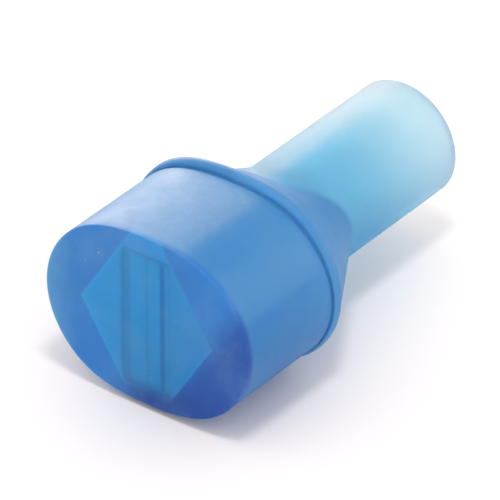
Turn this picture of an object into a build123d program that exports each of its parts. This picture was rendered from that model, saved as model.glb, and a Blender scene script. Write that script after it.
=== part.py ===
from build123d import *
import os

# Soft one-piece drinking-hose mouthpiece: a flexible bite chamber with a slit face, an oval
# shoulder and a round sleeve that grips the end of a hose. Millimetres.
# Origin: centre of the sleeve's open end. +Y leaves the sleeve, +X runs along the oval, +Z is up.

# Overall stations, as depths behind the slit face
TOTAL_LENGTH = 43.6
FACE_FRAME_DEPTH = 3.0
RING_FRONT = 14.1
RING_BACK = 15.2
SHOULDER_MID = 20.7
SHOULDER_END = 26.0
STOP_FRONT = 22.4
STOP_BACK = 24.0
RIM_LENGTH = 0.9

# Oval sections, half width by half height
FACE_HALF = (12.75, 10.15)
GROOVE_HALF = (12.9, 9.87)
RING_HALF = (13.05, 10.55)
SHOULDER_START_HALF = (12.95, 10.3)
SHOULDER_MID_HALF = (9.6, 6.4)
SHOULDER_END_HALF = (6.3, 4.6)
CROWN = 1.074  # full ellipse height over the height that the flats leave
CORNER_SHARE = 0.42  # corner radius over half height
RING_EDGE = 0.35

# Sleeve and its passage
NECK_RADIUS = 6.65
SLEEVE_END_RADIUS = 6.6
BORE_RADIUS = 5.0
SEAT_RADIUS = 5.4
PASSAGE_RADIUS = 4.0
RIM_ROUND = 0.5

# Bite chamber, a hexagon across its corners and its flats
CHAMBER_HALF_WIDTH = 8.35
CHAMBER_HALF_HEIGHT = 8.0
CHAMBER_TOP_HALF = 3.3
FUNNEL_END = (4.6, 3.9, 2.2)  # half width, half height and half flat where it meets the passage
FUNNEL_OVERLAP = 1.0  # how far the round passage starts inside the funnel

# Pads that the teeth press, and the thin band that each one flexes on
PAD_HALF_WIDTH = 4.4
PAD_BACK = 13.2
BAND_FRONT_GAP = 0.1  # between a pad and the band behind it
BAND_THICKNESS = 0.9

# Slit lips, their folding line and the thin webs beside them
LIP_THICKNESS = 1.3
LIP_BACK_HALF = 1.8
LIP_STRAIGHT = 0.3
LIP_HALF_HEIGHT = 7.85
FOLD_LINE = 2.85
WEB_THICKNESS = 0.9
SLIT_HALF_GAP = 0.06
FOLD_HALF_GAP = 0.06

GAP = 0.15  # between pieces that move past each other
FAR = 60.0  # larger than the whole object
SAME = 0.001  # two heights closer than this are the same


def section(depth):
    """The plane across the object at a depth behind the face, looking towards the sleeve."""
    return Plane(origin=(0, depth - TOTAL_LENGTH, 0), x_dir=(1, 0, 0), z_dir=(0, 1, 0))


def oval(half):
    """An ellipse with flats on top and bottom and rounded corners between."""
    half_width, half_height = half
    shape = Ellipse(half_width, half_height * CROWN) & Rectangle(FAR, 2 * half_height)
    corners = [v for v in shape.vertices() if abs(abs(v.Y) - half_height) < SAME]
    return fillet(corners, CORNER_SHARE * half_height)


def oval_between(depths_and_halves, ruled=True):
    """A solid through ovals at several depths."""
    return loft([section(depth) * oval(half) for depth, half in depths_and_halves], ruled=ruled)


def round_bar(start, end, radius, end_radius=None):
    """A round bar, or a slight cone, between two depths."""
    if end_radius is None:
        return extrude(section(start) * Circle(radius), end - start)
    return loft([section(start) * Circle(radius), section(end) * Circle(end_radius)], ruled=True)


def hexagon(half_width, half_height, half_flat):
    """A hexagon with flats on top and bottom and a corner at each side."""
    return Polygon(
        (half_width, 0),
        (half_flat, half_height),
        (-half_flat, half_height),
        (-half_width, 0),
        (-half_flat, -half_height),
        (half_flat, -half_height),
        align=None,
    )


def chamber(start, end):
    """The straight part of the bite chamber between two depths."""
    outline = hexagon(CHAMBER_HALF_WIDTH, CHAMBER_HALF_HEIGHT, CHAMBER_TOP_HALF)
    return extrude(section(start) * outline, end - start)


def block(x_range, depth_range, z_range):
    """A box given by its two ends on each axis."""
    size = [high - low for low, high in (x_range, depth_range, z_range)]
    middle = [(high + low) / 2 for low, high in (x_range, depth_range, z_range)]
    return Pos(middle[0], middle[1] - TOTAL_LENGTH, middle[2]) * Box(*size)


def wall(start, end):
    """The oval wall round the bite chamber between two depths."""
    whole = oval_between([(0, FACE_HALF), (RING_FRONT, GROOVE_HALF)])
    slab = block((-FAR, FAR), (start, end), (-FAR, FAR))
    return (whole & slab) - chamber(start, end)


def funnel():
    """The passage that narrows from the bite chamber to the hose stop."""
    mouth = hexagon(CHAMBER_HALF_WIDTH, CHAMBER_HALF_HEIGHT, CHAMBER_TOP_HALF)
    narrow = loft(
        [section(RING_BACK) * mouth, section(SHOULDER_MID) * hexagon(*FUNNEL_END)], ruled=True
    )
    return narrow + round_bar(SHOULDER_MID - FUNNEL_OVERLAP, STOP_BACK, PASSAGE_RADIUS)


def right_lip():
    """The right lip of the slit, with its outer side sloped so that it can fold inwards."""
    outer = FOLD_LINE - FOLD_HALF_GAP
    profile = Polygon(
        (SLIT_HALF_GAP, 0),
        (outer, 0),
        (outer, LIP_STRAIGHT),
        (LIP_BACK_HALF, LIP_THICKNESS),
        (SLIT_HALF_GAP, LIP_THICKNESS),
        align=None,
    )
    base = Plane(
        origin=(0, -TOTAL_LENGTH, -LIP_HALF_HEIGHT), x_dir=(1, 0, 0), z_dir=(0, 0, 1)
    )
    return extrude(base * profile, 2 * LIP_HALF_HEIGHT)


def web(side):
    """The thin triangular web between a lip's folding line and the chamber's side corner."""
    sheet = chamber(0, WEB_THICKNESS)
    inner = side * (FOLD_LINE + FOLD_HALF_GAP)
    outer = side * FAR
    return sheet & block((min(inner, outer), max(inner, outer)), (0, FAR), (-FAR, FAR))


def pad(side):
    """The part of the wall that the teeth press: side is 1 for the upper and -1 for the lower."""
    region = block(
        (-PAD_HALF_WIDTH, PAD_HALF_WIDTH),
        (FACE_FRAME_DEPTH + GAP, PAD_BACK),
        (min(0, side * FAR), max(0, side * FAR)),
    )
    return wall(FACE_FRAME_DEPTH, RING_FRONT) & region


def flex_band(side):
    """The thin strip of wall behind a pad, where it bends in the groove before the ring."""
    depth = (PAD_BACK + BAND_FRONT_GAP, RING_FRONT)
    inner = GROOVE_HALF[1] - BAND_THICKNESS
    region = block(
        (-PAD_HALF_WIDTH - GAP, PAD_HALF_WIDTH + GAP),
        depth,
        (min(side * inner, side * FAR), max(side * inner, side * FAR)),
    )
    return wall(*depth) & region


def side_wall(side):
    """The thick end of the oval wall: side is -1 for left and 1 for right."""
    inner = side * (PAD_HALF_WIDTH + GAP)
    outer = side * FAR
    region = block((min(inner, outer), max(inner, outer)), (0, FAR), (-FAR, FAR))
    return wall(FACE_FRAME_DEPTH, RING_FRONT) & region


def flange_ring():
    """The proud band between the bite chamber and the shoulder."""
    band = extrude(section(RING_FRONT) * oval(RING_HALF), RING_BACK - RING_FRONT)
    edges = band.faces().sort_by(Axis.Y)[0].edges() + band.faces().sort_by(Axis.Y)[-1].edges()
    return fillet(edges, RING_EDGE) - chamber(RING_FRONT, RING_BACK)


def sleeve_bar(start, end):
    """The outside of the sleeve, which tapers very slightly towards its open end."""
    share = (start - STOP_BACK) / (TOTAL_LENGTH - STOP_BACK)
    first = NECK_RADIUS + (SLEEVE_END_RADIUS - NECK_RADIUS) * share
    share = (end - STOP_BACK) / (TOTAL_LENGTH - STOP_BACK)
    last = NECK_RADIUS + (SLEEVE_END_RADIUS - NECK_RADIUS) * share
    return round_bar(start, end, first, last)


def shoulder():
    """The oval cone that carries the sleeve."""
    cone = oval_between(
        [
            (RING_BACK, SHOULDER_START_HALF),
            (SHOULDER_MID, SHOULDER_MID_HALF),
            (SHOULDER_END, SHOULDER_END_HALF),
        ]
    )
    neck = round_bar(RING_BACK, STOP_BACK, NECK_RADIUS)
    seat = round_bar(STOP_FRONT, STOP_BACK, SEAT_RADIUS)
    return cone + neck - sleeve_bar(STOP_BACK, TOTAL_LENGTH) - seat - funnel()


def sleeve():
    """The tube that grips the hose."""
    end = TOTAL_LENGTH - RIM_LENGTH
    return sleeve_bar(STOP_BACK, end) - round_bar(STOP_BACK, end, BORE_RADIUS)


def sleeve_rim():
    """The rounded end of the sleeve."""
    start = TOTAL_LENGTH - RIM_LENGTH
    bar = sleeve_bar(start, TOTAL_LENGTH)
    edge = bar.faces().sort_by(Axis.Y)[-1].edges()
    return fillet(edge, RIM_ROUND) - round_bar(start, TOTAL_LENGTH, BORE_RADIUS)


def hose_stop():
    """The inner step that the end of the hose rests on."""
    seat = round_bar(STOP_FRONT, STOP_BACK, SEAT_RADIUS)
    return seat - round_bar(STOP_FRONT, STOP_BACK, PASSAGE_RADIUS)


nodes = {
    "face_frame": wall(0, FACE_FRAME_DEPTH),
    "left_web": web(-1),
    "right_web": web(1),
    "left_lip": mirror(right_lip(), Plane.YZ),
    "right_lip": right_lip(),
    "left_wall": side_wall(-1),
    "right_wall": side_wall(1),
    "upper_bite_pad": pad(1),
    "lower_bite_pad": pad(-1),
    "upper_flex_band": flex_band(1),
    "lower_flex_band": flex_band(-1),
    "flange_ring": flange_ring(),
    "oval_shoulder": shoulder(),
    "hose_stop": hose_stop(),
    "hose_sleeve": sleeve(),
    "sleeve_rim": sleeve_rim(),
}

os.makedirs("parts", exist_ok=True)
for name, shape in nodes.items():
    export_step(shape, f"parts/{name}.step")
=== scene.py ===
import bpy
import math
import numpy as np
from mathutils import Matrix, Vector
from mathutils.bvhtree import BVHTree


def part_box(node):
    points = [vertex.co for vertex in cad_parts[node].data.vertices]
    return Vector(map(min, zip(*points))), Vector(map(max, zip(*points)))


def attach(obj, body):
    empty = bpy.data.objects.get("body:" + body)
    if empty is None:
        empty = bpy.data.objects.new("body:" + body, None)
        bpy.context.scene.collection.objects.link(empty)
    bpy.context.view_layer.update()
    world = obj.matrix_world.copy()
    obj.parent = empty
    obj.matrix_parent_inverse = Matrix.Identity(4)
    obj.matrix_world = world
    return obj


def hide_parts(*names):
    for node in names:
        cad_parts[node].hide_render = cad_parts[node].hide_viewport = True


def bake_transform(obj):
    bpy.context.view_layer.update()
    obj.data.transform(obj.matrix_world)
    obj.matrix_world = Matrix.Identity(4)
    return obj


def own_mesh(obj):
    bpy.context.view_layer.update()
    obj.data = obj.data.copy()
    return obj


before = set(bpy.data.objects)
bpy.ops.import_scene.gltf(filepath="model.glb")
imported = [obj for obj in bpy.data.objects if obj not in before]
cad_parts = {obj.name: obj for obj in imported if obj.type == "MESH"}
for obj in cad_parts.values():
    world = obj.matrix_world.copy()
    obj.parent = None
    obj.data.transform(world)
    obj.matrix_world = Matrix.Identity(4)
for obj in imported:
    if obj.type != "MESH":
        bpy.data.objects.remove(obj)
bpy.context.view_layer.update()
MM = 0.001

# A bite valve of translucent blue silicone, as five skins over the CAD frame: two halves of the
# chamber, the rear and the two lips. A depth is a distance behind the face.

# Depths, half sizes and radii read from the CAD frame, in millimetres
FACE_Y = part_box("face_frame")[0][1] / MM
RING_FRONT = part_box("flange_ring")[0][1] / MM - FACE_Y
RING_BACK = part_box("flange_ring")[1][1] / MM - FACE_Y
STOP_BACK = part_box("hose_stop")[1][1] / MM - FACE_Y
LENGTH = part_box("sleeve_rim")[1][1] / MM - FACE_Y
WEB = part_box("left_web")[1][1] / MM - FACE_Y
LIP_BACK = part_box("left_lip")[1][1] / MM - FACE_Y
LIP_HALF_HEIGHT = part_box("left_lip")[1][2] / MM
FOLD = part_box("right_web")[0][0] / MM
CHAMBER_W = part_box("right_web")[1][0] / MM
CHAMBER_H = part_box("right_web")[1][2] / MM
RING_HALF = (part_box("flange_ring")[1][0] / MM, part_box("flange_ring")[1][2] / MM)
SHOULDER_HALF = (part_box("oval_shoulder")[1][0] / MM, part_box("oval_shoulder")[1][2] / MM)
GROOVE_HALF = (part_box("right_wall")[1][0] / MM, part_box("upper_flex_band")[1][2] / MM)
FACE_HALF_WIDTH = 12.78
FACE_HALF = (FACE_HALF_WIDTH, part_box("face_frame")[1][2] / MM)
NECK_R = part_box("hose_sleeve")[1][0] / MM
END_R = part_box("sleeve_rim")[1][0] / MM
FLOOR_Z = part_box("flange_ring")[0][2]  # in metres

# Sizes that no box gives, in millimetres
BORE_R = 5.0
PASSAGE_R = 4.0
PASSAGE_FRONT = 20.9
MID_SHOULDER = 20.7  # a station of the shoulder outside, and of the funnel inside
FUNNEL_HALF = (4.6, 3.9, 2.2)  # half width, half height and half flat at that station
CONE_STATIONS = (  # depth, half width and half height of the shoulder
    (RING_BACK, *SHOULDER_HALF),
    (MID_SHOULDER, 9.6, 6.4),
    (26.0, 6.3, 4.6),
    (30.0, 3.8, 3.2),  # within the sleeve
)
CHAMBER_FLAT = 3.3  # half the width of the hexagon's level top and bottom
FLAT_CORNER = (4.5, 10.15)  # about where the oval's flats end
HOLE_HALF_HEIGHT = LIP_HALF_HEIGHT + 0.1
CROWN = 1.074  # the height of the oval's full ellipse over that of its flats

# Softened corners: a higher number is sharper
SOFT = 10
HEX_SOFT = 50
INNER_SOFT = 22
FUNNEL_SOFT = 20

# Roundings and small steps, in millimetres
OVERLAP = 0.02  # how far the skins pass each other at the ring
FACE_ROUND = 0.11
GROOVE_DEPTH = 0.32
GROOVE_RUN = 0.16
HOLE_ROUND = 0.01
WEB_FILLET = 0.35
RING_FOOT = 0.06
RING_FRONT_RUN = 0.75
RING_BACK_ROUND = 0.2
SHOULDER_FILLET = 0.22
END_ROUND = 0.42
INNER_ROUND = 0.3
LIP_GAP = 0.003
FOLD_GAP = 0.004
LIP_FOLD_FACE = 0.22  # a deeper face would cross the web as the lip folds
LIP_BACK_OUTER = 1.8
LIP_END_REACH = 0.095
LIP_END_ROUND = 0.004
LIP_END_SCALE = 0.998  # the section's size at the very end, over its size elsewhere

# Where the sleeve's own colour sets in, in millimetres
BORE_PALE_START = 20.0
BORE_PALE_RUN = 6.0
JOIN_REACH = 0.25
JOIN_RUN = 0.7


# ---------- outlines ----------
def smooth(t):
    """An eased step from 0 to 1."""
    t = np.clip(t, 0, 1)
    return t * t * (3 - 2 * t)


def soft_lower(a, b, soft):
    """The smaller of two radii, rounded off where they cross."""
    low, high = np.minimum(a, b), np.maximum(a, b)
    return low * (1 + (low / high) ** soft) ** (-1 / soft)


def oval_radius(theta, half_w, half_h):
    """Polar radius of an ellipse whose top and bottom are cut flat, with softened corners."""
    c, s = np.abs(np.cos(theta)), np.abs(np.sin(theta))
    ellipse = 1 / np.sqrt((c / half_w) ** 2 + (s / (half_h * CROWN)) ** 2)
    flat = half_h / np.maximum(s, 1e-6)
    flat = flat * (1 + (1 / CROWN) ** SOFT) ** (1 / SOFT)
    return soft_lower(ellipse, flat, SOFT)


def hex_radius(theta, half_w, half_h, half_flat, soft=HEX_SOFT):
    """Polar radius of the chamber's hexagon with softened corners."""
    c, s = np.abs(np.cos(theta)), np.abs(np.sin(theta))
    flat = half_h / np.maximum(s, 1e-6)
    slant = 1 / (c / half_w + s * (1 - half_flat / half_w) / half_h)
    return soft_lower(slant, flat, soft)


def box_radius(theta, half_w, half_h):
    """Polar radius of a rectangle."""
    c, s = np.maximum(np.abs(np.cos(theta)), 1e-6), np.maximum(np.abs(np.sin(theta)), 1e-6)
    return np.minimum(half_w / c, half_h / s)


def quarter(count):
    """Angles through a quarter turn, for a rounding."""
    return np.linspace(0, math.pi / 2, count)


# ---------- meshes from rings ----------
def smooth_object(name, points, faces):
    """An object with smooth shading, linked to the scene."""
    mesh = bpy.data.meshes.new(name)
    mesh.from_pydata(points, [], faces)
    mesh.polygons.foreach_set("use_smooth", [True] * len(mesh.polygons))
    mesh.update()
    obj = bpy.data.objects.new(name, mesh)
    bpy.context.scene.collection.objects.link(obj)
    return obj


def strip_faces(rows, cols, closed, flip=False):
    """The quads between neighbouring rows of a grid of points."""
    faces = []
    for i in range(rows - 1):
        for j in range(cols if closed else cols - 1):
            k = (j + 1) % cols
            quad = (i * cols + j, i * cols + k, (i + 1) * cols + k, (i + 1) * cols + j)
            faces.append(quad[::-1] if flip else quad)
    return faces


def grid_object(name, rings, closed, flip=False):
    """A mesh from rings[profile index] = points round the axis, each (x, depth, z) in mm."""
    points = np.asarray(rings, float)
    rows, cols = points.shape[:2]
    points = points.reshape(-1, 3) * MM
    points[:, 1] += FACE_Y * MM
    return smooth_object(name, points.tolist(), strip_faces(rows, cols, closed, flip))


def ring_at(theta, radius, depth):
    """One ring of points, for a radius that is one number or one for each angle."""
    return np.stack(
        [radius * np.cos(theta), np.broadcast_to(depth, theta.shape), radius * np.sin(theta)], axis=1
    )


def angles(start, end):
    """Angles round the axis, with more at the corners of the hexagon, slit hole and flats."""
    even = np.linspace(start, end, 181)
    beside = 0.012
    corners = []
    for width, height in ((CHAMBER_FLAT, CHAMBER_H), (FOLD, HOLE_HALF_HEIGHT), FLAT_CORNER):
        base = math.atan2(height, width)
        for a in (base, math.pi - base, math.pi + base, 2 * math.pi - base):
            corners += [a - beside, a, a + beside]
    corners += [beside, math.pi - beside, math.pi + beside, 2 * math.pi - beside]
    within = [a for a in corners if start < a < end]
    return np.unique(np.round(np.concatenate([even, within]), 6))


# ---------- chamber: outside, face, webs and inside, one open-ended skin per half ----------
def wall_radius(theta, depth):
    """The outside of the chamber, with the fine groove that runs in front of the ring."""
    share = depth / RING_FRONT
    half_w = FACE_HALF[0] + (GROOVE_HALF[0] - FACE_HALF[0]) * share
    half_h = FACE_HALF[1] + (GROOVE_HALF[1] - FACE_HALF[1]) * share
    groove = GROOVE_DEPTH * math.exp(-(((depth - RING_FRONT + GROOVE_RUN) / GROOVE_RUN) ** 2))
    return oval_radius(theta, half_w, half_h) - groove


def chamber_outside(theta):
    """From the ring forward to the rounded edge of the face."""
    groove_depths = np.linspace(RING_FRONT, RING_FRONT - 0.8, 9)
    wall_depths = np.linspace(RING_FRONT - 1.2, 0.6, 22)
    rings = [ring_at(theta, wall_radius(theta, RING_FRONT), RING_FRONT + OVERLAP)]
    for depth in np.concatenate([groove_depths, wall_depths]):
        rings.append(ring_at(theta, wall_radius(theta, depth), depth))
    for a in quarter(7):
        radius = wall_radius(theta, 0) - FACE_ROUND * (1 - math.cos(a))
        rings.append(ring_at(theta, radius, FACE_ROUND * (1 - math.sin(a))))
    return rings


def chamber_face(theta, hexagon, hole, lead):
    """Across the flat face: the thick rim, the hexagon's outline, and the web as far as the hole."""
    rim = wall_radius(theta, 0) - FACE_ROUND
    reach = hexagon - hole
    beside = np.minimum(0.3, reach * 0.25)
    radii = [rim + (hexagon + 0.3 - rim) * t for t in np.linspace(0, 1, 12)[1:]]
    radii += [hexagon + 0.06, hexagon - beside * 0.2, hexagon - beside]
    radii += [hexagon - reach * t for t in (0.4, 0.55, 0.7, 0.85)]
    radii.append(hole + lead)
    return [ring_at(theta, radius, 0.0) for radius in radii]


def hole_edge(theta, hole, lead):
    """Through the web, at the edge of the hole that the lips fill."""
    return [
        ring_at(theta, hole + lead * 0.3, lead * 0.3),
        ring_at(theta, hole, lead),
        ring_at(theta, hole, WEB - lead),
        ring_at(theta, hole + lead * 0.3, WEB - lead * 0.3),
        ring_at(theta, hole + lead, WEB),
    ]


def chamber_inside(theta, hexagon, hole, lead):
    """The back of the web, the fillet round it, and the chamber's wall back to the ring."""
    softer = hex_radius(theta, CHAMBER_W, CHAMBER_H, CHAMBER_FLAT, soft=INNER_SOFT)
    flat_end = np.maximum(hexagon - WEB_FILLET, hole + lead * 1.5)
    rings = []
    for t in np.linspace(0.2, 1, 6):
        rings.append(ring_at(theta, hole + lead + (flat_end - hole - lead) * t, WEB))
    for a in quarter(6)[1:]:
        radius = flat_end + (hexagon - flat_end) * math.sin(a)
        rings.append(ring_at(theta, radius, WEB + WEB_FILLET * (1 - math.cos(a))))
    for depth in np.linspace(WEB + WEB_FILLET, RING_FRONT, 20)[1:]:
        share = smooth((depth - WEB - WEB_FILLET) / 2.0)
        rings.append(ring_at(theta, hexagon + (softer - hexagon) * share, depth))
    return rings


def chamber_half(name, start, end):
    """One half of the chamber, from the moulding at z 0 to its pad."""
    theta = angles(start, end)
    hexagon = hex_radius(theta, CHAMBER_W, CHAMBER_H, CHAMBER_FLAT)
    hole = box_radius(theta, FOLD, HOLE_HALF_HEIGHT)
    lead = np.minimum(HOLE_ROUND, (hexagon - hole) * 0.2)
    rings = chamber_outside(theta)
    rings += chamber_face(theta, hexagon, hole, lead)
    rings += hole_edge(theta, hole, lead)
    rings += chamber_inside(theta, hexagon, hole, lead)
    obj = grid_object(name, rings, closed=False)
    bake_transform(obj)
    return obj


# ---------- rear skin: ring, shoulder, sleeve, bore, stop, passage and funnel ----------
def cone_radius(theta, depth):
    """The oval shoulder."""
    depths, widths, heights = zip(*CONE_STATIONS)
    return oval_radius(theta, np.interp(depth, depths, widths), np.interp(depth, depths, heights))


def sleeve_radius(depth):
    """The sleeve, which changes evenly in radius from the hose stop to its open end."""
    share = max(0.0, (depth - STOP_BACK) / (LENGTH - STOP_BACK))
    return NECK_R + (END_R - NECK_R) * share


def outside_radius(theta, depth):
    """The larger of cone and sleeve, with a small concave fillet where they meet."""
    cone, sleeve = cone_radius(theta, depth), sleeve_radius(depth)
    share = np.clip(0.5 + 0.5 * (cone - sleeve) / SHOULDER_FILLET, 0, 1)
    return sleeve + (cone - sleeve) * share + SHOULDER_FILLET * share * (1 - share)


def sleeve_shares(theta, rings):
    """For each point, 1 on the sleeve and its bore and 0 on the ring and shoulder."""
    shares, inside = [], False
    for points in rings:
        depth = points[0][1]
        radius = np.hypot(points[:, 0], points[:, 2])
        inside = inside or (depth > STOP_BACK and radius[0] < BORE_R + 0.2)
        if inside:
            shares.append(np.full_like(theta, smooth((depth - BORE_PALE_START) / BORE_PALE_RUN)))
        elif depth <= RING_BACK + 0.1:
            shares.append(np.zeros_like(theta))
        else:
            past_cone = sleeve_radius(depth) - cone_radius(theta, depth)
            shares.append(smooth((past_cone + JOIN_REACH) / JOIN_RUN))
    return np.concatenate(shares)


def proud_ring(theta):
    """The ring: a quarter ellipse up its front, and a tighter rounding down its back."""
    groove = oval_radius(theta, *GROOVE_HALF)
    top = oval_radius(theta, *RING_HALF)
    step = top - groove - RING_FOOT
    rings = [ring_at(theta, groove - 0.3, RING_FRONT + OVERLAP), ring_at(theta, groove, RING_FRONT)]
    for a in quarter(10):
        radius = groove + RING_FOOT + step * math.sin(a)
        rings.append(ring_at(theta, radius, RING_FRONT + RING_FRONT_RUN * (1 - math.cos(a))))
    for a in quarter(6):
        radius = top - RING_BACK_ROUND + RING_BACK_ROUND * math.cos(a)
        rings.append(ring_at(theta, radius, RING_BACK - RING_BACK_ROUND + RING_BACK_ROUND * math.sin(a)))
    rings.append(ring_at(theta, oval_radius(theta, *SHOULDER_HALF) + 0.02, RING_BACK + 0.03))
    return rings


def shoulder_and_sleeve(theta):
    """The outside behind the ring, as far as the sleeve's rounded end."""
    shoulder_depths = np.linspace(RING_BACK + 0.15, 27.5, 62)
    sleeve_depths = np.linspace(28.2, LENGTH - 0.8, 20)
    rings = []
    for depth in np.concatenate([shoulder_depths, sleeve_depths]):
        rings.append(ring_at(theta, outside_radius(theta, depth), depth))
    for a in quarter(8)[1:]:
        radius = sleeve_radius(LENGTH) - END_ROUND * (1 - math.cos(a))
        rings.append(ring_at(theta, radius, LENGTH - END_ROUND * (1 - math.sin(a))))
    return rings


def bore_and_stop(theta):
    """The bore from its rounded mouth to the hose stop, and round the stop's edge."""
    rings = []
    for a in quarter(6):
        radius = BORE_R + INNER_ROUND * (1 - math.sin(a))
        rings.append(ring_at(theta, radius, LENGTH - INNER_ROUND * (1 - math.cos(a))))
    for depth in np.linspace(LENGTH - 1.2, STOP_BACK + INNER_ROUND, 18):
        rings.append(ring_at(theta, BORE_R, depth))
    for a in quarter(5):
        radius = BORE_R - INNER_ROUND * (1 - math.cos(a))
        rings.append(ring_at(theta, radius, STOP_BACK + INNER_ROUND * (1 - math.sin(a))))
    for a in quarter(5):
        radius = PASSAGE_R + INNER_ROUND * (1 - math.sin(a))
        rings.append(ring_at(theta, radius, STOP_BACK - INNER_ROUND * (1 - math.cos(a))))
    return rings


def passage_and_funnel(theta):
    """The round passage, opening forward into the chamber's hexagon."""
    narrow = hex_radius(theta, *FUNNEL_HALF, soft=FUNNEL_SOFT)
    wide = hex_radius(theta, CHAMBER_W, CHAMBER_H, CHAMBER_FLAT, soft=INNER_SOFT)
    rings = []
    for depth in np.linspace(STOP_BACK - 0.6, PASSAGE_FRONT, 5):
        rings.append(ring_at(theta, PASSAGE_R, depth))
    for depth in np.linspace(MID_SHOULDER, RING_BACK, 14):
        share = (MID_SHOULDER - depth) / (MID_SHOULDER - RING_BACK)
        radius = narrow + (wide - narrow) * share
        rings.append(ring_at(theta, np.maximum(radius, PASSAGE_R * (1 - smooth(share * 3))), depth))
    rings.append(ring_at(theta, wide, RING_FRONT))
    return rings


def rear_skin():
    """Everything behind the chamber, outside and inside, with its sleeve shares as an attribute."""
    theta = np.linspace(0, 2 * math.pi, 361)[:-1]
    rings = proud_ring(theta) + shoulder_and_sleeve(theta)
    rings += bore_and_stop(theta) + passage_and_funnel(theta)
    obj = grid_object("ring_shoulder_and_sleeve", rings, closed=True, flip=True)
    attribute = obj.data.attributes.new("sleeve", "FLOAT", "POINT")
    attribute.data.foreach_set("value", sleeve_shares(theta, rings).tolist())
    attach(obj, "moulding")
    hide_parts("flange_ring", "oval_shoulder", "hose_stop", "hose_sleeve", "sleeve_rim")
    return obj


# ---------- slit lips ----------
def lip_outline():
    """The lip's section as (x, depth) points, square in front and cut away at the back outside."""
    fold_side = FOLD - FOLD_GAP
    corners = (  # x, depth and rounding
        (LIP_GAP, 0.0, 0.008),
        (fold_side, 0.0, 0.01),
        (fold_side, LIP_FOLD_FACE, 0.01),
        (LIP_BACK_OUTER, LIP_BACK, 0.15),
        (LIP_GAP, LIP_BACK, 0.12),
    )
    outline = []
    for i, (x, depth, rounding) in enumerate(corners):
        corner = np.array((x, depth))
        back = np.array(corners[i - 1][:2]) - corner
        ahead = np.array(corners[(i + 1) % len(corners)][:2]) - corner
        back = back / np.linalg.norm(back)
        ahead = ahead / np.linalg.norm(ahead)
        for t in np.linspace(0, 1, 6):
            outline.append(corner + back * rounding * (1 - t) ** 2 + ahead * rounding * t**2)
    return np.array(outline)


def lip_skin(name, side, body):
    """A closed lip bar with rounded edges. The side is -1 for left and 1 for right."""
    outline = lip_outline()
    cols = len(outline)
    centre = outline.mean(axis=0)
    half = LIP_HALF_HEIGHT + LIP_END_REACH
    heights = [(-half, LIP_END_SCALE), (-half + LIP_END_ROUND, 1.0)]
    heights += [(z, 1.0) for z in np.linspace(-half + 0.6, half - 0.6, 24)]
    heights += [(half - LIP_END_ROUND, 1.0), (half, LIP_END_SCALE)]
    points = []
    for z, scale in heights:
        for x, depth in centre + (outline - centre) * scale:
            points.append((side * x * MM, (FACE_Y + depth) * MM, z * MM))
    faces = strip_faces(len(heights), cols, closed=True, flip=side < 0)
    bottom = tuple(range(cols))
    top = tuple(range(len(points) - cols, len(points)))
    faces += [bottom[::-1], top] if side > 0 else [bottom, top[::-1]]
    obj = smooth_object(name, points, faces)
    obj.data.set_sharp_from_angle(angle=math.radians(40))
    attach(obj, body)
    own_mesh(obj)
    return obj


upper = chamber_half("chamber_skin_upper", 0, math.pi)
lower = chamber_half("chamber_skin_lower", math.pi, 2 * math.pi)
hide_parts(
    "upper_bite_pad", "upper_flex_band", "face_frame", "left_web", "right_web", "left_wall", "right_wall",
)
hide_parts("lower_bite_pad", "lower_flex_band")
rear = rear_skin()
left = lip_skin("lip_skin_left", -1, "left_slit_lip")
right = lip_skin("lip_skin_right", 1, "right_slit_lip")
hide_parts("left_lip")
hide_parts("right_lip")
skins = [upper, lower, rear, left, right]


# ---------- wall thickness, which sets how deep the blue looks ----------
SEEN_MM = 12.0  # the thickest wall that is told from a thicker one
RAY_START = 0.00003  # how far below the surface a ray starts, in metres
RAYS = ((0, 0), (0.45, 0.3), (0.45, 2.4), (0.45, 4.5))  # each ray's lean, and its turn in radians


def tree_of(objects):
    """All the objects' triangles in one search tree."""
    points, triangles = [], []
    for obj in objects:
        mesh = obj.data
        mesh.calc_loop_triangles()
        first = len(points)
        points += [v.co.copy() for v in mesh.vertices]
        triangles += [tuple(i + first for i in t.vertices) for t in mesh.loop_triangles]
    return BVHTree.FromPolygons(points, triangles)


def wall_below(tree, vertex):
    """The mean distance in mm from a vertex through the wall, along the rays."""
    inward = -vertex.normal
    across = inward.orthogonal().normalized()
    other = inward.cross(across)
    found = []
    for lean, turn in RAYS:
        way = inward + (across * math.cos(turn) + other * math.sin(turn)) * lean
        way.normalize()
        distance = tree.ray_cast(vertex.co + inward * RAY_START, way, SEEN_MM * MM)[3]
        found.append(SEEN_MM if distance is None else distance / MM)
    return sum(found) / len(found)


def smoothed(values, edges):
    """Values averaged three times with those of their neighbours along the edges."""
    ends = np.empty(2 * len(edges), int)
    edges.foreach_get("vertices", ends)
    a, b = ends[0::2], ends[1::2]
    count = np.bincount(ends, minlength=len(values))
    for _ in range(3):
        around = np.bincount(a, values[b], len(values)) + np.bincount(b, values[a], len(values))
        values = 0.4 * values + 0.6 * around / count
    return values


def measure_thickness(objects):
    """Writes each vertex's wall thickness in mm as the attribute wall_mm."""
    tree = tree_of(objects)
    for obj in objects:
        values = np.array([wall_below(tree, vertex) for vertex in obj.data.vertices])
        attribute = obj.data.attributes.new("wall_mm", "FLOAT", "POINT")
        attribute.data.foreach_set("value", smoothed(values, obj.data.edges).tolist())


def remember_rest(obj):
    """Keeps each vertex's place at rest, so that the colours follow the silicone as it bends."""
    places = np.empty(3 * len(obj.data.vertices))
    obj.data.vertices.foreach_get("co", places)
    attribute = obj.data.attributes.new("rest_place", "FLOAT_VECTOR", "POINT")
    attribute.data.foreach_set("vector", places)


measure_thickness(skins)
for obj in skins:
    remember_rest(obj)


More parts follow.
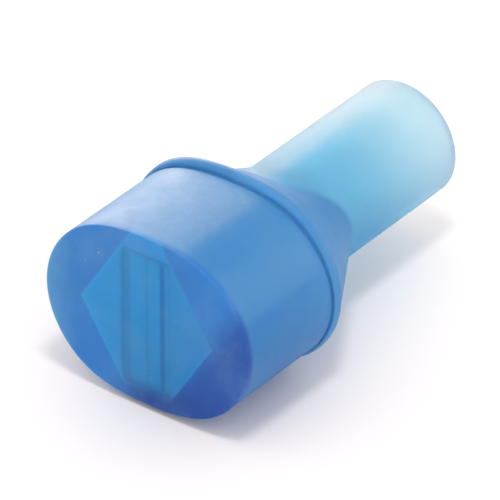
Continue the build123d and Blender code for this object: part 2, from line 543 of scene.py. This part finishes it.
# ---------- silicone ----------
class Nodes:
    """Small helpers over a material's node tree."""

    def __init__(self, name):
        self.material = bpy.data.materials.new(name)
        self.material.use_nodes = True
        self.tree = self.material.node_tree
        self.tree.nodes.clear()

    def add(self, kind, **values):
        node = self.tree.nodes.new(kind)
        for key, value in values.items():
            setattr(node, key, value)
        return node

    def link(self, a, b):
        self.tree.links.new(a, b)

    def surface(self):
        """A Principled shader, linked to the material's output."""
        out = self.add("ShaderNodeOutputMaterial")
        shader = self.add("ShaderNodeBsdfPrincipled")
        self.link(shader.outputs[0], out.inputs["Surface"])
        return shader

    def attribute(self, name, output="Fac"):
        return self.add("ShaderNodeAttribute", attribute_name=name).outputs[output]

    def math(self, operation, a, b=None, clamp=False):
        node = self.add("ShaderNodeMath", operation=operation, use_clamp=clamp)
        for socket, value in zip(node.inputs, (a, b)):
            if value is None:
                continue
            if isinstance(value, (int, float)):
                socket.default_value = value
            else:
                self.link(value, socket)
        return node.outputs[0]

    def times(self, first, *others):
        """The product of two or more values."""
        for other in others:
            first = self.math("MULTIPLY", first, other)
        return first

    def scaled(self, value, factor, offset):
        """value * factor + offset"""
        return self.math("ADD", self.times(value, factor), offset)

    def ramp(self, value, low, high):
        """0 at low and 1 at high, which may be the lower number, with a smooth change between."""
        node = self.add("ShaderNodeMapRange", interpolation_type="SMOOTHSTEP")
        self.link(value, node.inputs["Value"])
        node.inputs["From Min"].default_value = low
        node.inputs["From Max"].default_value = high
        return node.outputs["Result"]

    def band(self, value, start, full, fading, end):
        """0 before start, 1 from full to fading, and 0 again after end."""
        return self.times(self.ramp(value, start, full), self.ramp(value, end, fading))

    def noise(self, vector, scale, detail=3.0, rough=0.5):
        node = self.add("ShaderNodeTexNoise")
        node.inputs["Scale"].default_value = scale
        node.inputs["Detail"].default_value = detail
        node.inputs["Roughness"].default_value = rough
        self.link(vector, node.inputs["Vector"])
        return node.outputs["Fac"]

    def mix(self, factor, a, b):
        node = self.add("ShaderNodeMix", data_type="RGBA")
        for socket, value in ((node.inputs[0], factor), (node.inputs[6], a), (node.inputs[7], b)):
            if isinstance(value, tuple):
                socket.default_value = (*value, 1.0)
            else:
                self.link(value, socket)
        return node.outputs[2]


# Blues of the body by wall thickness, with a painted shade for its underside and a painted sheen band for
# its sides
THIN = (0.062, 0.39, 0.76)
MIDDLE = (0.052, 0.37, 0.76)
DEEP = (0.030, 0.23, 0.65)
PAINTED_UNDERSIDE_SHADE = (0.034, 0.15, 0.51)
PAINTED_SIDE_SHEEN = (0.26, 0.70, 0.78)

# Blues of the face's rim, with painted light on its left edge and painted shade to its right and lower
# right, and of the window in it
FACE_UP_LEFT = (0.030, 0.195, 0.53)
FACE_MIDDLE = (0.022, 0.19, 0.55)
FACE_RIGHT_PAINTED_SHADE = (0.014, 0.090, 0.37)
FACE_LOW_RIGHT_PAINTED_SHADE = (0.007, 0.055, 0.29)
FACE_LEFT_EDGE_PAINTED_LIGHT = (0.11, 0.34, 0.60)
WINDOW_LEFT = (0.020, 0.375, 0.80)
WINDOW_RIGHT = (0.015, 0.29, 0.70)
# Painted shade of the lips' fold lines and sloped backs
PAINTED_FOLD_SHADE = (0.010, 0.15, 0.50)

# Blues of the ring, shoulder and sleeve, and a painted shade for the sleeve's underside
SHOULDER = (0.075, 0.34, 0.70)
SLEEVE = (0.22, 0.65, 0.86)
SLEEVE_END = (0.60, 0.80, 0.86)
PAINTED_SLEEVE_UNDERSIDE_SHADE = (0.10, 0.46, 0.76)
RIM = (0.62, 0.80, 0.94)

# Colours of the clouds and specks, and of the mottled painted sheen on the flats and the painted highlight
# along the sleeve's crown
CLOUD = (0.24, 0.47, 0.68)
SPECK = (0.50, 0.65, 0.80)
PAINTED_FLATS_SHEEN = (0.38, 0.58, 0.76)
PAINTED_CROWN_HIGHLIGHT = (0.58, 0.70, 0.78)


class Silicone(Nodes):
    """Translucent blue silicone. Its x, z and slant are in metres, its wall and depth in mm."""

    def __init__(self, name):
        super().__init__(name)
        self.wall = self.attribute("wall_mm")
        self.sleeve = self.attribute("sleeve")
        rest_place = self.attribute("rest_place", "Vector")
        own_place = self.add("ShaderNodeTexCoord").outputs["Object"]
        self.place = self.mix(self.math("GREATER_THAN", self.wall, 0.0), own_place, rest_place)
        xyz = self.add("ShaderNodeSeparateXYZ")
        self.link(self.place, xyz.inputs[0])
        self.x, self.z = xyz.outputs["X"], xyz.outputs["Z"]
        self.from_middle = self.math("ABSOLUTE", self.z)
        self.depth = self.times(self.math("SUBTRACT", xyz.outputs["Y"], FACE_Y * MM), 1 / MM)
        self.slant = self.math("SUBTRACT", self.times(self.x, 0.9), self.times(self.z, 0.6))
        self.cloud = self.noise(self.place, 170.0, detail=5.0, rough=0.6)
        self.front = self.ramp(self.depth, 1.25, 0.35)
        self.inside = self.window_share()

    def window_share(self):
        """1 on the thin web across the chamber, and less towards its top and bottom."""
        lean = (1 - CHAMBER_FLAT / CHAMBER_W) / CHAMBER_H / MM
        sideways = self.times(self.math("ABSOLUTE", self.x), 1 / CHAMBER_W / MM)
        across = self.math("ADD", sideways, self.times(self.from_middle, lean))
        share = self.times(self.ramp(across, 1.015, 0.975), self.ramp(self.z, -0.0088, -0.0066))
        top_fade = self.times(self.ramp(self.z, 0.0070, 0.0083), 0.6)
        return self.times(share, self.math("SUBTRACT", 1.0, top_fade))

    def body(self):
        """Deeper blue where the wall is thicker, painted shade lower down, and a painted sheen band along
        the sides.
        """
        colour = self.mix(self.ramp(self.wall, 1.4, 4.5), THIN, MIDDLE)
        colour = self.mix(self.ramp(self.wall, 3.0, 9.0), colour, DEEP)
        # Painted shade: darker towards the bottom.
        colour = self.mix(self.times(self.ramp(self.z, 0.001, -0.010), 0.7), colour, PAINTED_UNDERSIDE_SHADE)
        # Painted sheen: a paler band along the sides.
        side_sheen = self.band(self.z, 0.0035, 0.0045, 0.0076, 0.0096)
        return self.mix(self.times(side_sheen, self.ramp(self.depth, 14.2, 12.2), 0.14), colour, PAINTED_SIDE_SHEEN)

    def face_rim(self):
        """The face's thick rim, with painted shade deepening towards its right and lower right, and painted
        light on its left edge.
        """
        # Painted shade to the lower right, and painted light on the left edge.
        low_right_shade = self.times(self.ramp(self.z, -0.004, -0.010), self.ramp(self.slant, 0.0, 0.006))
        left_edge_light = self.times(self.ramp(self.x, -0.0085, -0.0130), 0.6)
        colour = self.mix(self.ramp(self.slant, -0.012, 0.004), FACE_UP_LEFT, FACE_MIDDLE)
        colour = self.mix(self.ramp(self.slant, 0.0050, 0.0092), colour, FACE_RIGHT_PAINTED_SHADE)
        colour = self.mix(low_right_shade, colour, FACE_LOW_RIGHT_PAINTED_SHADE)
        return self.mix(left_edge_light, colour, FACE_LEFT_EDGE_PAINTED_LIGHT)

    def window(self):
        """The thin web across the chamber, darker towards its right, with a painted shade strip on each lip
        where its fold line and sloped back lie.
        """
        colour = self.mix(self.ramp(self.slant, -0.006, 0.011), WINDOW_LEFT, WINDOW_RIGHT)
        left_fold_shade = self.times(self.band(self.x, -0.0036, -0.0031, -0.0022, -0.0017), 0.28)
        right_fold_shade = self.times(self.band(self.x, 0.0016, 0.0019, 0.0021, 0.0026), 0.7)
        fold_shades = self.math("ADD", left_fold_shade, right_fold_shade)
        return self.mix(self.times(fold_shades, self.ramp(self.from_middle, 0.0079, 0.0072)), colour, PAINTED_FOLD_SHADE)

    def rear(self, colour):
        """Adds the ring and shoulder, and the sleeve, which pales towards its rim, with painted shade on
        the sleeve's underside.
        """
        not_sleeve = self.math("SUBTRACT", 1.0, self.sleeve)
        # Painted shade on the sleeve's underside.
        belly_shade = self.times(self.ramp(self.z, 0.003, -0.005), self.sleeve, self.ramp(self.depth, 50.0, 26.0))
        colour = self.mix(self.times(self.ramp(self.depth, 13.9, 14.3), not_sleeve), colour, SHOULDER)
        colour = self.mix(self.times(self.sleeve, self.ramp(self.depth, 14.0, 21.0)), colour, SLEEVE)
        colour = self.mix(self.ramp(self.depth, 25.0, 43.0), colour, SLEEVE_END)
        colour = self.mix(belly_shade, colour, PAINTED_SLEEVE_UNDERSIDE_SHADE)
        return self.mix(self.ramp(self.depth, 42.4, 43.2), colour, RIM)

    def clouds_and_specks(self, colour):
        """Adds faint pale clouds, and a few small specks."""
        colour = self.mix(self.times(self.ramp(self.cloud, 0.35, 0.7), 0.14), colour, CLOUD)
        cells = self.add("ShaderNodeTexVoronoi")
        cells.inputs["Scale"].default_value = 420.0
        self.link(self.place, cells.inputs["Vector"])
        speck = self.ramp(cells.outputs["Distance"], 0.075, 0.03)
        return self.mix(self.times(speck, self.ramp(self.cloud, 0.45, 0.6), 0.45), colour, SPECK)

    def painted_sheen(self, colour):
        """Adds a mottled painted sheen on the flats, as far as their right edge, and a mottled painted
        highlight along the sleeve's upper left.
        """
        mottle = self.ramp(self.noise(self.place, 1100.0, detail=5.0, rough=0.7), 0.30, 0.75)
        # Painted sheen on the flats, mottled.
        flats = self.times(self.ramp(self.x, 0.0052, 0.0034), self.ramp(self.from_middle, 0.0080, 0.0095))
        flats = self.times(flats, self.band(self.depth, 0.2, 1.4, 12.8, 14.4))
        colour = self.mix(self.times(flats, self.scaled(mottle, 0.24, 0.22)), colour, PAINTED_FLATS_SHEEN)
        # Painted highlight along the sleeve's upper left.
        up_left = self.math("SUBTRACT", self.times(self.z, 0.68), self.times(self.x, 0.73))
        along = self.times(self.sleeve, self.ramp(self.depth, 16.0, 22.0))
        crown = self.times(self.ramp(up_left, 0.0037, 0.0052), along)
        return self.mix(self.times(crown, self.scaled(mottle, 0.35, 0.45)), colour, PAINTED_CROWN_HIGHLIGHT)

    def transmission(self):
        """Less clear where the wall is thick and on the face, and a little clearer on the sleeve."""
        see = self.math("SUBTRACT", 0.58, self.times(self.ramp(self.wall, 1.5, 9.0), 0.16))
        see = self.math("ADD", see, self.times(self.sleeve, 0.04))
        cloudy = self.math("SUBTRACT", 0.32, self.times(self.inside, 0.14))
        return self.math("SUBTRACT", see, self.times(self.front, cloudy), clamp=True)

    def satin(self, shader):
        """Sets streaked roughness and a fine bump."""
        fine = self.noise(self.place, 2600.0, detail=2.0)
        streak = self.noise(self.place, 420.0, detail=5.0, rough=0.6)
        rough = self.math("ADD", self.scaled(streak, 0.24, 0.40), self.times(self.sleeve, 0.16))
        self.link(rough, shader.inputs["Roughness"])
        bump = self.add("ShaderNodeBump")
        bump.inputs["Strength"].default_value = 0.2
        bump.inputs["Distance"].default_value = 0.00012
        self.link(self.scaled(fine, 0.5, streak), bump.inputs["Height"])
        self.link(bump.outputs[0], shader.inputs["Normal"])

    def build(self):
        """The whole material."""
        shader = self.surface()
        face = self.mix(self.inside, self.face_rim(), self.window())
        colour = self.rear(self.mix(self.front, self.body(), face))
        # Adds the clouds and specks, then the painted sheen and painted highlight.
        colour = self.painted_sheen(self.clouds_and_specks(colour))
        self.link(colour, shader.inputs["Base Color"])
        self.link(self.transmission(), shader.inputs["Transmission Weight"])
        self.satin(shader)
        shader.inputs["IOR"].default_value = 1.41
        shader.inputs["Specular IOR Level"].default_value = 0.3
        shader.inputs["Subsurface Weight"].default_value = 0.3
        shader.inputs["Subsurface Radius"].default_value = (0.4, 0.8, 1.0)
        shader.inputs["Subsurface Scale"].default_value = 0.003
        return self.material


blue = Silicone("blue_silicone").build()
for obj in skins:
    obj.data.materials.append(blue)
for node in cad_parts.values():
    node.data.materials.clear()
    node.data.materials.append(blue)


# ---------- floor, light and camera ----------
def floor_material():
    """A warm white floor with faint clouds."""
    n = Nodes("pale_floor")
    shader = n.surface()
    cloud = n.noise(n.add("ShaderNodeTexCoord").outputs["Object"], 30.0)
    n.link(n.mix(cloud, (0.95, 0.89, 0.87), (0.97, 0.91, 0.89)), shader.inputs["Base Color"])
    shader.inputs["Roughness"].default_value = 0.85
    return n.material


FLOOR_HALF = 3  # in metres
floor_corners = [(-FLOOR_HALF, -FLOOR_HALF), (FLOOR_HALF, -FLOOR_HALF)]
floor_corners += [(FLOOR_HALF, FLOOR_HALF), (-FLOOR_HALF, FLOOR_HALF)]
floor_mesh = bpy.data.meshes.new("floor")
floor_mesh.from_pydata([(x, y, FLOOR_Z) for x, y in floor_corners], [], [(0, 1, 2, 3)])
floor = bpy.data.objects.new("floor", floor_mesh)
bpy.context.scene.collection.objects.link(floor)
floor_mesh.materials.append(floor_material())

world = bpy.data.worlds.new("studio")
bpy.context.scene.world = world
world.use_nodes = True
world.node_tree.nodes["Background"].inputs["Color"].default_value = (1.0, 1.0, 1.0, 1.0)
world.node_tree.nodes["Background"].inputs["Strength"].default_value = 1.0

LIT_DEPTH = 18  # the lights aim at the axis, this many millimetres behind the face
target = Vector((0, (FACE_Y + LIT_DEPTH) * MM, 0))


def area(name, offset, size, power, gloss_only=False, colour=(1.0, 1.0, 1.0)):
    """A round light aimed at the target. A gloss-only one lights no diffuse or see-through part."""
    light = bpy.data.lights.new(name, "AREA")
    light.shape = "DISK"
    light.size = size
    light.energy = power
    light.color = colour
    obj = bpy.data.objects.new(name, light)
    obj.visible_diffuse = not gloss_only
    obj.visible_transmission = not gloss_only
    obj.location = target + Vector(offset)
    obj.rotation_euler = (target - obj.location).to_track_quat("-Z", "Y").to_euler()
    bpy.context.scene.collection.objects.link(obj)


area("key", (0.10, -0.11, 0.5), size=0.10, power=0.64)
WARM = (1.0, 0.88, 0.76)
FAINTLY_WARM = (1.0, 0.90, 0.84)
area("back_left", (-0.42, 0.38, 0.14), size=0.42, power=3.8, gloss_only=True, colour=WARM)
area("back_right", (0.38, 0.40, 0.24), size=0.25, power=0.9, gloss_only=True, colour=FAINTLY_WARM)

# The camera's turn round the upright axis and its rise above the floor, in radians
TURN = 0.9177
RISE = 0.5808

# How far the camera stands off the face's centre, in metres
SHIFT_RIGHT = 0.010378
SHIFT_UP = 0.007230
DISTANCE = 0.8333

right_way = Vector((math.sin(TURN), math.cos(TURN), 0))
up_way = Vector((-math.cos(TURN) * math.sin(RISE), math.sin(TURN) * math.sin(RISE), math.cos(RISE)))
back_way = Vector((math.cos(TURN) * math.cos(RISE), -math.sin(TURN) * math.cos(RISE), math.sin(RISE)))
face_centre = Vector((0, FACE_Y * MM, 0))
camera_data = bpy.data.cameras.new("camera")
camera_data.sensor_width = 36.0
camera_data.lens = 600.0
camera_data.clip_end = 20.0
camera = bpy.data.objects.new("camera", camera_data)
rotation = Matrix((right_way, up_way, back_way)).transposed().to_4x4()
camera_place = face_centre + right_way * SHIFT_RIGHT + up_way * SHIFT_UP + back_way * DISTANCE
camera.matrix_world = Matrix.Translation(camera_place) @ rotation
bpy.context.scene.collection.objects.link(camera)
bpy.context.scene.camera = camera
bpy.context.scene.view_settings.view_transform = "Standard"
